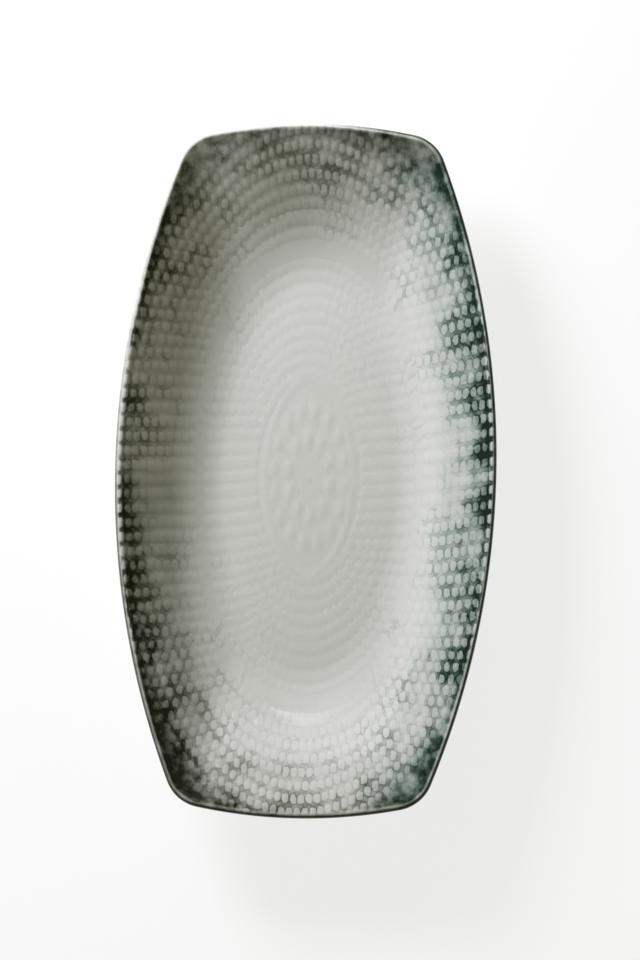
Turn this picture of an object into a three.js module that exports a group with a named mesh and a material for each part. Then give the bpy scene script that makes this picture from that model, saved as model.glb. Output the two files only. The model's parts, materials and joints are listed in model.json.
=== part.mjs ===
// A boat-shaped serving plate in glazed porcelain, in millimetres, +Z up.
// The origin is the centre of the foot, on the table. +Y runs along the plate and +X across it.
//
// The plate is pressed clay on a raised foot, under a coat of glaze. The coat is in three pieces:
// one over the face and the lip, one from the lip under the wall to the foot, and one inside the foot.
// The bottom of the foot stays bare. The face carries rings of beads, which stand in its coat.
import * as THREE from "three";
import { mergeVertices } from "three/addons/utils/BufferGeometryUtils.js";

// Overall size
const LENGTH = 340;
const WIDTH = 186;
const HEIGHT = 42; // from the table to the top of the lip

// Rim outline, seen from above: bowed sides, bowed ends and round corners
const SIDE_RADIUS = 420;
const END_RADIUS = 253;
const CORNER_RADIUS = 20;

// Section, from the middle of the floor to the lip
const SIDE_RUN = 52; // how far the wall leans out at the sides, from the flat floor to the rim
const END_RUN = 79; // the same at the ends
const SWEEP = 0.55; // share of the run over which the wall curves up, before it leans out straight
const BASE_THICKNESS = 4.5; // clay under the floor
const LIP_THICKNESS = 3.2; // clay at the lip, which is fully rounded
const GLAZE_THICKNESS = 0.4;

// Foot
const FOOT_HEIGHT = 5; // from the table to the clay under the floor
const FOOT_INSET = 6; // from the edge of the flat floor in to the middle of the foot
const FOOT_ROOT_WIDTH = 7; // where it meets the floor
const FOOT_LAND_WIDTH = 3.4; // the flat that stands on the table
const FOOT_ROUNDING = 0.8; // on both edges of the land
const GLAZE_LINE = 1.4; // height above the table at which the glaze is wiped off

// Relief: rings of beads round the middle of the plate, drawn out along it
const RING_PITCH = 3.73; // from ring to ring, across the plate
const RING_STRETCH = 1.84; // along the plate to across it
const RING_START = 0.38; // pitches from the middle to ring 0
const FIRST_RING = 6; // the floor inside that ring is plain
const BEADS_IN_RING_0 = 4;
const BEADS_MORE_PER_RING = 6;
const RING_SHIFT = 0.052; // of a bead, by which each ring starts further round than the last
const BEAD_HEIGHT_AT_RIM = 0.35;
const BEAD_HEIGHT_ON_FLOOR = 0.12;
const BEAD_MARGIN = 0.3; // from the last hollow to the lip

// Mesh fineness
const SIDE_STEPS = 8;
const END_STEPS = 10;
const CORNER_STEPS = 4;
const SWEEP_STEPS = 5;
const FLOOR_RINGS = [0.34, 0.67]; // shares of the flat floor's radius

const CLAY = new THREE.MeshStandardMaterial({ color: 0xe6e1d6, roughness: 0.85, metalness: 0 });
const BARE_FOOT = new THREE.MeshStandardMaterial({ color: 0xddd6c8, roughness: 0.9, metalness: 0 });
const FACE_COAT = new THREE.MeshStandardMaterial({ color: 0xc5c6bf, roughness: 0.25, metalness: 0 });
const BACK_COAT = new THREE.MeshStandardMaterial({ color: 0xd8d8d0, roughness: 0.22, metalness: 0 });

const reach = (point) => Math.hypot(point.x, point.y);

// Rim outline. Its first quarter is half a side arc, a corner arc and half an end arc, each touching the next.
const sideCentre = new THREE.Vector2(WIDTH / 2 - SIDE_RADIUS, 0);
const endCentre = new THREE.Vector2(0, LENGTH / 2 - END_RADIUS);
const corner = cornerCentre();
const sideTurn = Math.atan2(corner.y, corner.x - sideCentre.x);
const endTurn = Math.atan2(corner.y - endCentre.y, corner.x);

// The corner arc lies inside the side circle and the end circle, so its centre is known from both.
function cornerCentre() {
  const toSide = SIDE_RADIUS - CORNER_RADIUS;
  const toEnd = END_RADIUS - CORNER_RADIUS;
  const between = sideCentre.distanceTo(endCentre);
  const along = (toSide ** 2 - toEnd ** 2 + between ** 2) / (2 * between);
  const across = Math.sqrt(toSide ** 2 - along ** 2);
  const direction = endCentre.clone().sub(sideCentre).divideScalar(between);
  const normal = new THREE.Vector2(direction.y, -direction.x);
  const nearest = sideCentre.clone().addScaledVector(direction, along);
  const centres = [across, -across].map((d) => nearest.clone().addScaledVector(normal, d));
  return centres.find((centre) => centre.x > 0 && centre.y > 0);
}

// Points of the whole outline, anticlockwise from the near end of the right side
function rimOutline() {
  const { PI } = Math;
  const arcs = [
    [sideCentre.x, 0, SIDE_RADIUS, -sideTurn, sideTurn, SIDE_STEPS],
    [corner.x, corner.y, CORNER_RADIUS, sideTurn, endTurn, CORNER_STEPS],
    [0, endCentre.y, END_RADIUS, endTurn, PI - endTurn, END_STEPS],
    [-corner.x, corner.y, CORNER_RADIUS, PI - endTurn, PI - sideTurn, CORNER_STEPS],
    [-sideCentre.x, 0, SIDE_RADIUS, PI - sideTurn, PI + sideTurn, SIDE_STEPS],
    [-corner.x, -corner.y, CORNER_RADIUS, PI + sideTurn, PI + endTurn, CORNER_STEPS],
    [0, -endCentre.y, END_RADIUS, PI + endTurn, 2 * PI - endTurn, END_STEPS],
    [corner.x, -corner.y, CORNER_RADIUS, 2 * PI - endTurn, 2 * PI - sideTurn, CORNER_STEPS],
  ];
  return arcs.flatMap(([x, y, radius, from, to, steps]) =>
    new THREE.ArcCurve(x, y, radius, from, to, false).getPoints(steps).slice(0, steps),
  );
}

// How far the rim is from the middle of the plate in a direction
function rimReach(direction) {
  const quarter = new THREE.Vector2(Math.abs(direction.x), Math.abs(direction.y));
  const onSide = quarter.clone().multiplyScalar(circleReach(quarter, sideCentre, SIDE_RADIUS));
  if (onSide.clone().sub(sideCentre).angle() <= sideTurn) return reach(onSide);
  const onEnd = quarter.clone().multiplyScalar(circleReach(quarter, endCentre, END_RADIUS));
  if (onEnd.clone().sub(endCentre).angle() >= endTurn) return reach(onEnd);
  return circleReach(quarter, corner, CORNER_RADIUS);
}

// How far the far side of a circle is from the middle of the plate in a direction
function circleReach(direction, centre, radius) {
  const along = direction.dot(centre);
  return along + Math.sqrt(along ** 2 - centre.lengthSq() + radius ** 2);
}

// A spoke is the plate's section from the middle out to the rim.
const floorHalfWidth = WIDTH / 2 - SIDE_RUN;
const floorHalfLength = LENGTH / 2 - END_RUN;

function spokeAlong(direction) {
  const floor = 1 / Math.hypot(direction.x / floorHalfWidth, direction.y / floorHalfLength);
  const lip = rimReach(direction) - GLAZE_THICKNESS - LIP_THICKNESS / 2;
  return { direction, floor, lip };
}

const spokes = rimOutline().map((rim) => spokeAlong(rim.normalize()));

// Heights of the middle of the clay
const floorHeight = FOOT_HEIGHT + BASE_THICKNESS / 2;
const lipHeight = HEIGHT - GLAZE_THICKNESS - LIP_THICKNESS / 2;

// Height of the middle of the wall, at a share of the way from the floor to the lip
function wallHeight(share) {
  const rise = share < SWEEP ? share ** 2 / (2 * SWEEP) : share - SWEEP / 2;
  return THREE.MathUtils.lerp(floorHeight, lipHeight, rise / (1 - SWEEP / 2));
}

// Slope of the wall there, as an angle
function wallSlope(spoke, share) {
  const steepest = (lipHeight - floorHeight) / (1 - SWEEP / 2);
  return Math.atan((steepest * Math.min(share / SWEEP, 1)) / (spoke.lip - spoke.floor));
}

// A point of the section, a distance off the middle of the wall at an angle from the horizontal
function offMiddle(spoke, share, distance, angle) {
  const out = spoke.floor + share * (spoke.lip - spoke.floor) + distance * Math.cos(angle);
  const up = wallHeight(share) + distance * Math.sin(angle);
  return new THREE.Vector3(spoke.direction.x * out, spoke.direction.y * out, up);
}

// A point of the wall's face (side 1) or underside (side -1), a coat's thickness off the clay
function wallPoint(spoke, share, side, coat) {
  const half = THREE.MathUtils.lerp(BASE_THICKNESS, LIP_THICKNESS, share) / 2;
  const angle = wallSlope(spoke, share) + (side * Math.PI) / 2;
  return offMiddle(spoke, share, half + coat, angle);
}

function wallRing(share, side, coat) {
  return spokes.map((spoke) => wallPoint(spoke, share, side, coat));
}

// The whole wall on one side, from the edge of the floor up the sweep and straight on to the lip
function wallRings(side, coat) {
  const sweep = Array.from({ length: SWEEP_STEPS + 1 }, (_, i) => (SWEEP * i) / SWEEP_STEPS);
  return [...sweep, 1].map((share) => wallRing(share, side, coat));
}

// One ring round the lip, at an angle from straight out (0) to straight up
function lipRing(angle, coat) {
  return spokes.map((spoke) => offMiddle(spoke, 1, LIP_THICKNESS / 2 + coat, angle));
}

// The lip from its top to its outermost line
function lipRings(coat) {
  return [Math.PI / 2, Math.PI / 3, Math.PI / 6, 0].map((angle) => lipRing(angle, coat));
}

const middle = (height) => [new THREE.Vector3(0, 0, height)];

function floorRings(height) {
  return FLOOR_RINGS.map((share) =>
    spokes.map(({ direction, floor }) => {
      const place = direction.clone().multiplyScalar(floor * share);
      return new THREE.Vector3(place.x, place.y, height);
    }),
  );
}

// The clay's face from the middle to the outermost line of the lip
function faceRings() {
  const height = FOOT_HEIGHT + BASE_THICKNESS;
  return [middle(height), ...floorRings(height), ...wallRings(1, 0), ...lipRings(0)];
}

// The underside from the outermost line of the lip to the edge of the flat floor
function skirtRings(coat) {
  return [lipRing(0, coat), lipRing(-Math.PI / 7, coat), ...wallRings(-1, coat).reverse()];
}

// The foot follows an oval inside the edge of the floor. A ring of it lies a distance outside that oval.
function footRing(outside, height) {
  const halfWidth = floorHalfWidth - FOOT_INSET;
  const halfLength = floorHalfLength - FOOT_INSET;
  return spokes.map(({ direction }) => {
    const turn = Math.atan2(direction.y / halfLength, direction.x / halfWidth);
    const normal = new THREE.Vector2(Math.cos(turn) / halfWidth, Math.sin(turn) / halfLength).normalize();
    const x = halfWidth * Math.cos(turn) + outside * normal.x;
    const y = halfLength * Math.sin(turn) + outside * normal.y;
    return new THREE.Vector3(x, y, height);
  });
}

// Half the foot's width at a height: the sides taper from the root to the rounding.
function halfFootAt(height) {
  const share = (height - FOOT_ROUNDING) / (FOOT_HEIGHT - FOOT_ROUNDING);
  return THREE.MathUtils.lerp(FOOT_LAND_WIDTH / 2 + FOOT_ROUNDING, FOOT_ROOT_WIDTH / 2, share);
}

// Surfaces are lists of points, three to a triangle, anticlockwise seen from outside.

// The strip between two rings of as many points, or the fan where one of them is a single point.
// Both sides of a seam split their quads along the same diagonal, whichever way they are followed.
function strip(from, to) {
  const triangles = [];
  const outwards = reach(to[0]) > reach(from[0]);
  for (let k = 0; k < Math.max(from.length, to.length); k++) {
    const near = [from[k % from.length], from[(k + 1) % from.length]];
    const far = [to[k % to.length], to[(k + 1) % to.length]];
    const [a, b, c, d] = outwards ? [near[0], far[0], far[1], near[1]] : [far[0], far[1], near[1], near[0]];
    if (a !== b && b !== c) triangles.push(a, b, c);
    if (a !== d && c !== d) triangles.push(a, c, d);
  }
  return triangles;
}

// A surface through rings that run anticlockwise seen from above, and go outwards over a top face
function loft(rings) {
  return rings.slice(1).flatMap((ring, i) => strip(rings[i], ring));
}

// The strip between two rings with different numbers of points, across the shorter way at each step
function stitch(inner, outer) {
  const triangles = [];
  const away = outer.map((point) => point.distanceTo(inner[0]));
  const start = away.indexOf(Math.min(...away));
  let i = 0;
  let j = 0;
  while (i < inner.length || j < outer.length) {
    const a = inner[i % inner.length];
    const b = outer[(start + j) % outer.length];
    const nextInner = inner[(i + 1) % inner.length];
    const nextOuter = outer[(start + j + 1) % outer.length];
    const shorter = a.distanceTo(nextOuter) < b.distanceTo(nextInner);
    const stepOuter = i === inner.length || (j < outer.length && shorter);
    triangles.push(a, b, stepOuter ? nextOuter : nextInner);
    if (stepOuter) j++;
    else i++;
  }
  return triangles;
}

// Relief. A place in it is a ring and a turn. Between two rings lies a hollow.
const beadsIn = (ring) => BEADS_IN_RING_0 + BEADS_MORE_PER_RING * ring;
const ringRadius = (ring) => RING_PITCH * (ring + RING_START);
const beadTurn = (ring, bead) => (bead + RING_SHIFT * ring) / beadsIn(ring);

// The last ring is the last whose outer hollow clears the lip all round.
const faceEdge = wallRing(1, 1, GLAZE_THICKNESS);
const roomForRings = Math.min(...faceEdge.map((point) => Math.hypot(point.x, point.y / RING_STRETCH)));
const lastRing = Math.floor((roomForRings - BEAD_MARGIN) / RING_PITCH - RING_START - 0.5);

// Beads stand lower towards the middle of the plate.
function beadHeight(ring) {
  const share = (ring - FIRST_RING) / (lastRing - FIRST_RING);
  return THREE.MathUtils.lerp(BEAD_HEIGHT_ON_FLOOR, BEAD_HEIGHT_AT_RIM, share);
}

// The point of the relief at a ring and a turn, a height above the coat
function reliefPoint(ring, turn, height) {
  const angle = 2 * Math.PI * turn;
  const place = new THREE.Vector2(Math.cos(angle), RING_STRETCH * Math.sin(angle));
  place.multiplyScalar(ringRadius(ring));
  const coat = GLAZE_THICKNESS + height;
  const spoke = spokeAlong(place.clone().normalize());
  if (place.length() <= spoke.floor) {
    return new THREE.Vector3(place.x, place.y, FOOT_HEIGHT + BASE_THICKNESS + coat);
  }
  let [low, high] = [0, 1];
  for (let i = 0; i < 40; i++) {
    const share = (low + high) / 2;
    if (reach(wallPoint(spoke, share, 1, coat)) < place.length()) low = share;
    else high = share;
  }
  return wallPoint(spoke, high, 1, coat);
}

// The hollow inside a ring, with a point between each two of its beads
function hollow(ring) {
  return Array.from({ length: beadsIn(ring) }, (_, bead) =>
    reliefPoint(ring - 0.5, beadTurn(ring, bead - 0.5), 0),
  );
}

// Which point of the hollow inside a ring is nearest to a turn
const hollowPointAt = (ring, turn) => Math.round(turn * beadsIn(ring) - RING_SHIFT * ring + 0.5);

// One ring of beads between its two hollows, each bead a low pyramid
function beadRing(ring, inner, outer) {
  return inner.flatMap((point, bead) => {
    const top = reliefPoint(ring, beadTurn(ring, bead), beadHeight(ring));
    const from = hollowPointAt(ring + 1, beadTurn(ring, bead - 0.5));
    const to = hollowPointAt(ring + 1, beadTurn(ring, bead + 0.5));
    const outside = Array.from({ length: to - from + 1 }, (_, i) => outer.at((from + i) % outer.length));
    const round = [point, ...outside, inner[(bead + 1) % inner.length]];
    return round.flatMap((corner, i) => [top, corner, round[(i + 1) % round.length]]);
  });
}

// The beaded face of the coat, and the plain border from the last ring to the lip
function beadedFace() {
  const rings = Array.from({ length: lastRing - FIRST_RING + 1 }, (_, i) => FIRST_RING + i);
  const hollows = [...rings, lastRing + 1].map(hollow);
  const floor = strip(middle(FOOT_HEIGHT + BASE_THICKNESS + GLAZE_THICKNESS), hollows[0]);
  const beads = rings.flatMap((ring, i) => beadRing(ring, hollows[i], hollows[i + 1]));
  const border = stitch(hollows.at(-1), faceEdge);
  return [...floor, ...beads, ...border];
}

function porcelainBody() {
  const underside = [...floorRings(FOOT_HEIGHT).reverse(), middle(FOOT_HEIGHT)];
  return loft([...faceRings(), ...skirtRings(0).slice(1), ...underside]);
}

function footRingSolid() {
  const land = FOOT_LAND_WIDTH / 2;
  const outerWall = [
    [FOOT_ROOT_WIDTH / 2, FOOT_HEIGHT],
    [halfFootAt(GLAZE_LINE), GLAZE_LINE],
    [land + FOOT_ROUNDING, FOOT_ROUNDING],
    [land + FOOT_ROUNDING * Math.SQRT1_2, FOOT_ROUNDING * (1 - Math.SQRT1_2)],
    [land, 0],
  ];
  const innerWall = outerWall.map(([outside, height]) => [-outside, height]).reverse();
  const rings = [...outerWall, ...innerWall].map(([outside, height]) => footRing(outside, height));
  return loft([...rings, rings[0]]);
}

function faceGlaze() {
  return [...beadedFace(), ...loft([faceEdge, ...lipRings(GLAZE_THICKNESS), ...faceRings().reverse()])];
}

// From the lip under the wall and down the outer side of the foot
function skirtGlaze() {
  const root = FOOT_ROOT_WIDTH / 2;
  const line = halfFootAt(GLAZE_LINE);
  const outer = [
    ...skirtRings(GLAZE_THICKNESS),
    footRing(root + GLAZE_THICKNESS, FOOT_HEIGHT - GLAZE_THICKNESS),
    footRing(line + GLAZE_THICKNESS, GLAZE_LINE),
  ];
  const inner = [...skirtRings(0), footRing(root, FOOT_HEIGHT), footRing(line, GLAZE_LINE)];
  return loft([...outer, ...inner.reverse(), outer[0]]);
}

// Under the floor, inside the foot and down its inner side
function recessGlaze() {
  const root = -FOOT_ROOT_WIDTH / 2;
  const line = -halfFootAt(GLAZE_LINE);
  return loft([
    middle(FOOT_HEIGHT),
    footRing(root, FOOT_HEIGHT),
    footRing(line, GLAZE_LINE),
    footRing(line - GLAZE_THICKNESS, GLAZE_LINE),
    footRing(root - GLAZE_THICKNESS, FOOT_HEIGHT - GLAZE_THICKNESS),
    middle(FOOT_HEIGHT - GLAZE_THICKNESS),
  ]);
}

function piece(name, triangles, material) {
  const geometry = mergeVertices(new THREE.BufferGeometry().setFromPoints(triangles));
  geometry.computeVertexNormals();
  const mesh = new THREE.Mesh(geometry, material);
  mesh.name = name;
  return mesh;
}

const plate = new THREE.Group();
plate.add(
  piece("porcelain_body", porcelainBody(), CLAY),
  piece("foot_ring", footRingSolid(), BARE_FOOT),
  piece("face_glaze", faceGlaze(), FACE_COAT),
  piece("skirt_glaze", skirtGlaze(), BACK_COAT),
  piece("recess_glaze", recessGlaze(), BACK_COAT),
);

export default plate;
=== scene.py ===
# %% [markdown]
# # A boat-shaped plate with a beaded face
#
# The plate is one pressed and fired piece of porcelain: a long floor, a wall that leans out to a bowed
# rim with round corners, and a raised oval foot. Rings of beads cover its face. A dark green stain was
# wiped over the beads, so it stays in the hollows near the rim, and a clear gloss glaze lies over
# everything.
#
# The solids come first. They give the size and the place of every piece, in metres.

import json
import math

import bpy
import numpy as np
from mathutils import Matrix, Vector

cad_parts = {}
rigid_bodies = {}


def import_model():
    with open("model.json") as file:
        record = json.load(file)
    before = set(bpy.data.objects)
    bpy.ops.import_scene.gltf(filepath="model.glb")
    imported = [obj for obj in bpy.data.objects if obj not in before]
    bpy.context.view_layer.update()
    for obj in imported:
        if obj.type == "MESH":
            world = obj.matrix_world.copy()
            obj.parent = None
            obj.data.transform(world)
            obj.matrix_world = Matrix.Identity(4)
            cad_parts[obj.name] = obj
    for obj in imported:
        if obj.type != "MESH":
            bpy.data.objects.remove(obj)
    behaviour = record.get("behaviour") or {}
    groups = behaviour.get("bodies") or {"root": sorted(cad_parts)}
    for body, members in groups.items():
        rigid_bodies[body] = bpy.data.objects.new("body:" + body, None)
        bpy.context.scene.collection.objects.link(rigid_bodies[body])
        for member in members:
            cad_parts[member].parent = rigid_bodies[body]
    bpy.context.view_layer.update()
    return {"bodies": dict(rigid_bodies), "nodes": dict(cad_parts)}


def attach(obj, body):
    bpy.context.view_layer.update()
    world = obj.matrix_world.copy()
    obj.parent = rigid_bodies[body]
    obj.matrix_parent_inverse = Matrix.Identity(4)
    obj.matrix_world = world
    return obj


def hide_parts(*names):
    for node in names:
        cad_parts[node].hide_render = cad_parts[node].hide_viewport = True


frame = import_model()
BODY = next(iter(frame["bodies"]))
print("solids:", sorted(frame["nodes"]), "on", BODY)

# %% [markdown]
# ## The form, as numbers
#
# The drawing of the plate is short. Seen from above, its rim is four arcs joined by four corner arcs. In
# section it is a flat floor, a wall that sweeps up from it and then leans out straight, and a round lip.
# With these few numbers, any point of any surface can be worked out, so every piece below agrees with the
# solids.

# %% Sizes of the plate
LENGTH, WIDTH, HEIGHT = 0.340, 0.186, 0.042
SIDE_RADIUS, END_RADIUS, CORNER_RADIUS = 0.420, 0.253, 0.020
SIDE_RUN, END_RUN, SWEEP = 0.052, 0.079, 0.55
BASE, LIP, GLAZE = 0.0045, 0.0032, 0.0004
FOOT_HEIGHT, FOOT_INSET = 0.005, 0.006
FOOT_ROOT, FOOT_LAND, FOOT_ROUNDING, GLAZE_LINE = 0.007, 0.0034, 0.0008, 0.0014

FLOOR_HALF = np.array([WIDTH / 2 - SIDE_RUN, LENGTH / 2 - END_RUN])
MID_FLOOR = FOOT_HEIGHT + BASE / 2
MID_LIP = HEIGHT - GLAZE - LIP / 2
SIDE_CENTRE = np.array([WIDTH / 2 - SIDE_RADIUS, 0.0])
END_CENTRE = np.array([0.0, LENGTH / 2 - END_RADIUS])


def corner_centre():
    """Centre of the corner arc, which touches the side arc and the end arc from inside."""
    to_side, to_end = SIDE_RADIUS - CORNER_RADIUS, END_RADIUS - CORNER_RADIUS
    line = END_CENTRE - SIDE_CENTRE
    between = np.hypot(*line)
    along = (to_side**2 - to_end**2 + between**2) / (2 * between)
    across = math.sqrt(to_side**2 - along**2)
    normal = np.array([-line[1], line[0]]) / between
    return SIDE_CENTRE + line / between * along + normal * across


def turn_from(centre, points):
    return np.arctan2(points[:, 1] - centre[1], points[:, 0] - centre[0])


CORNER = corner_centre()
SIDE_TURN = turn_from(SIDE_CENTRE, CORNER[None])[0]
END_TURN = turn_from(END_CENTRE, CORNER[None])[0]
print("corner arc centred at", CORNER.round(4))


# %% Reach of the rim in any direction
def circle_reach(way, centre, radius):
    along = way @ centre
    return along + np.sqrt(np.maximum(along**2 - centre @ centre + radius**2, 0))


def rim_reach(way):
    """How far the rim is from the middle, for each direction in an array of unit vectors."""
    quarter = np.abs(way)
    side = circle_reach(quarter, SIDE_CENTRE, SIDE_RADIUS)
    end = circle_reach(quarter, END_CENTRE, END_RADIUS)
    corner = circle_reach(quarter, CORNER, CORNER_RADIUS)
    on_side = turn_from(SIDE_CENTRE, quarter * side[:, None]) <= SIDE_TURN
    on_end = turn_from(END_CENTRE, quarter * end[:, None]) >= END_TURN
    return np.where(on_side, side, np.where(on_end, end, corner))


def spokes(way):
    """Reach of the flat floor and of the middle of the lip, in each direction."""
    floor = 1 / np.hypot(way[:, 0] / FLOOR_HALF[0], way[:, 1] / FLOOR_HALF[1])
    return floor, rim_reach(way) - GLAZE - LIP / 2


# %% Points of the section
HALVINGS = 36
TRIAL_OUT = 0.07
STEEPEST = (MID_LIP - MID_FLOOR) / (1 - SWEEP / 2)


def wall_height(share):
    """Height of the middle of the wall at a share of the way from the floor to the lip."""
    return MID_FLOOR + STEEPEST * np.where(share < SWEEP, share**2 / (2 * SWEEP), share - SWEEP / 2)


def wall_slope(floor, lip, share):
    return np.arctan(STEEPEST * np.minimum(share / SWEEP, 1) / (lip - floor))


def off_middle(way, floor, lip, share, distance, angle):
    """Points at a distance and an angle off the middle of the wall."""
    out = floor + share * (lip - floor) + distance * np.cos(angle)
    return np.column_stack([way * out[:, None], wall_height(share) + distance * np.sin(angle)])


def wall_points(way, share, side, coat):
    """Points of the face (side 1) or underside (side -1) at a share of the wall, a coat off the clay."""
    floor, lip = spokes(way)
    half = (BASE + (LIP - BASE) * share) / 2
    angle = wall_slope(floor, lip, share) + side * math.pi / 2
    return off_middle(way, floor, lip, share, half + coat, angle)


def lip_points(way, angle, coat):
    """Points round the lip, at an angle from straight out (0) to straight up."""
    floor, lip = spokes(way)
    one = np.ones(len(way))
    return off_middle(way, floor, lip, one, (LIP / 2 + coat) * one, angle)


def wall_share(way, out):
    """The share of the wall at which the glazed face lies a distance out from the middle, 0 on the floor."""
    low, high = np.zeros(len(out)), np.ones(len(out))
    for _ in range(HALVINGS):
        middle = (low + high) / 2
        points = wall_points(way, middle, 1, GLAZE)
        short = np.hypot(points[:, 0], points[:, 1]) < out
        low, high = np.where(short, middle, low), np.where(short, high, middle)
    return np.where(out <= spokes(way)[0], 0.0, high)


trial_share = wall_share(np.array([[1.0, 0.0]]), np.array([TRIAL_OUT]))
print(TRIAL_OUT, "m out at the side, the wall is at share", trial_share.round(3))

# %% [markdown]
# ## The camera
#
# The plate was seen from almost straight above, a little from its near right: the rows of beads on the
# far wall show further apart than those on the near wall, and the middle of the floor shows to the right
# of the middle of the rim. It was turned by about one degree. Its two ends come out the same width, so
# the view was from far away, and a long lens far off gives it. The scale and the place of the plate in
# the picture fix the lens and the aim.

# %% Camera
PICTURE = (640, 960)
PIXELS_PER_METRE = 2056.0
RIM_CENTRE_PIXEL = (305.4, 470.0)
LEAN_RIGHT, LEAN_NEAR, ROLL = math.radians(3.5), math.radians(6.0), math.radians(1.24)
DISTANCE, SENSOR = 9.0, 36

back = Vector((math.tan(LEAN_RIGHT), -math.tan(LEAN_NEAR), 1)).normalized()
level_up = (Vector((0, 1, 0)) - back * back.y).normalized()
level_right = level_up.cross(back)
right = level_right * math.cos(ROLL) + level_up * math.sin(ROLL)
up = level_up * math.cos(ROLL) - level_right * math.sin(ROLL)
aside = (RIM_CENTRE_PIXEL[0] - PICTURE[0] / 2) / PIXELS_PER_METRE
above = (PICTURE[1] / 2 - RIM_CENTRE_PIXEL[1]) / PIXELS_PER_METRE
aim = Vector((0, 0, HEIGHT)) - right * aside - up * above
facing = Matrix((right, up, back)).transposed().to_4x4()

camera_data = bpy.data.cameras.new("camera")
camera_data.sensor_width = SENSOR
camera_data.lens = SENSOR * DISTANCE * PIXELS_PER_METRE / PICTURE[1]
camera_data.clip_end = 2 * DISTANCE + 2
camera = bpy.data.objects.new("camera", camera_data)
bpy.context.scene.collection.objects.link(camera)
camera.matrix_world = Matrix.Translation(aim + back * DISTANCE) @ facing
bpy.context.scene.camera = camera
bpy.context.scene.view_settings.view_transform = "Standard"
print("lens", round(camera_data.lens, 1), "mm")

# %% [markdown]
# ## Strips
#
# Everything on the plate runs round it, so most pieces start as a flat strip: a grid as long as the way
# round and as wide as the section. The strip is wrapped round the plate by giving each of its points a
# new place, and its two ends are welded. Spin would do this for a round plate, but this one isn't round.

# %% A flat strip, and what closes it
WELD_DISTANCE = 2e-6


def flat_strip(name, columns, rows):
    """A grid, and the column and row of each of its points. Its last column counts as its first again."""
    bpy.ops.object.select_all(action="DESELECT")
    bpy.ops.mesh.primitive_grid_add(x_subdivisions=columns, y_subdivisions=rows, size=1)
    strip = bpy.context.object
    strip.name = strip.data.name = name
    flat = points_of(strip)
    column = np.rint((flat[:, 0] + 0.5) * columns).astype(int) % columns
    row = np.rint((flat[:, 1] + 0.5) * rows).astype(int)
    return strip, column, row


def points_of(piece):
    points = np.empty(len(piece.data.vertices) * 3, np.float32)
    piece.data.vertices.foreach_get("co", points)
    return points.reshape(-1, 3).astype(float)


def move_points(piece, places):
    piece.data.vertices.foreach_set("co", np.ascontiguousarray(places, np.float32).ravel())
    piece.data.update()


def pick(piece):
    bpy.ops.object.select_all(action="DESELECT")
    piece.select_set(True)
    bpy.context.view_layer.objects.active = piece


def weld(piece):
    """Merges the points that meet, and turns all faces outwards."""
    pick(piece)
    bpy.ops.object.mode_set(mode="EDIT")
    bpy.ops.mesh.select_all(action="SELECT")
    bpy.ops.mesh.remove_doubles(threshold=WELD_DISTANCE)
    bpy.ops.mesh.normals_make_consistent(inside=False)
    bpy.ops.object.mode_set(mode="OBJECT")
    bpy.ops.object.shade_smooth()


def edge_uses(mesh):
    """How many faces meet at each edge."""
    loops = np.empty(len(mesh.loops), int)
    mesh.loops.foreach_get("edge_index", loops)
    return np.bincount(loops, minlength=len(mesh.edges))


def report(piece):
    piece.data.calc_loop_triangles()
    open_edges = int((edge_uses(piece.data) != 2).sum())
    print(piece.name, len(piece.data.loop_triangles), "triangles,", open_edges, "open edges")


# %% A strip wrapped round the plate
ROUND = 480


def wrap(name, rows):
    """A strip of as many rows as there are functions, each giving the points of one ring of the section."""
    strip, column, row = flat_strip(name, ROUND, len(rows) - 1)
    angle = 2 * math.pi * column / ROUND
    way = np.column_stack([WIDTH * np.cos(angle), LENGTH * np.sin(angle)])
    way /= np.hypot(way[:, 0], way[:, 1])[:, None]
    places = np.empty((len(row), 3))
    for number, ring in enumerate(rows):
        places[row == number] = ring(way[row == number])
    move_points(strip, places)
    weld(strip)
    return strip


# %% [markdown]
# ## The clay
#
# Under its glaze the plate is one shell of fired clay. Nothing of it shows, but it is there: its section
# runs from the middle of the floor up the wall, round the lip and back under the wall to the middle.

# %% Rings of the section
WALL_SHARES = np.append(np.linspace(0, SWEEP, 13), np.linspace(SWEEP, 1, 6)[1:])
FLOOR_PARTS = np.linspace(0, 1, 6)[:-1]
LIP_TURNS = np.linspace(1, 0, 7)[1:]


def floor_ring(part, height):
    def ring(way):
        return np.column_stack([way * (part * spokes(way)[0])[:, None], np.full(len(way), height)])

    return ring


def wall_ring(share, side, coat):
    return lambda way: wall_points(way, np.full(len(way), share), side, coat)


def lip_ring(turn, side, coat):
    """A ring round the lip, from its outermost line (turn 0) to the start of the face or underside (1)."""

    def ring(way):
        slope = wall_slope(*spokes(way), np.ones(len(way)))
        return lip_points(way, turn * (slope + side * math.pi / 2), coat)

    return ring


def face_rings(coat):
    rings = [floor_ring(part, FOOT_HEIGHT + BASE + coat) for part in FLOOR_PARTS]
    rings += [wall_ring(share, 1, coat) for share in WALL_SHARES]
    return rings + [lip_ring(turn, 1, coat) for turn in LIP_TURNS]


def back_rings(coat):
    """From the outermost line of the lip to the edge of the floor, under the wall."""
    rings = [lip_ring(turn, -1, coat) for turn in LIP_TURNS[::-1]]
    return rings + [wall_ring(share, -1, coat) for share in WALL_SHARES[::-1]]


print(len(face_rings(0)), "rings on the face,", len(back_rings(0)), "under the wall")

# %% The clay body
under_floor = [floor_ring(part, FOOT_HEIGHT) for part in FLOOR_PARTS[::-1]]
clay_body = wrap("clay_body", face_rings(0) + back_rings(0)[1:] + under_floor)
report(clay_body)

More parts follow.
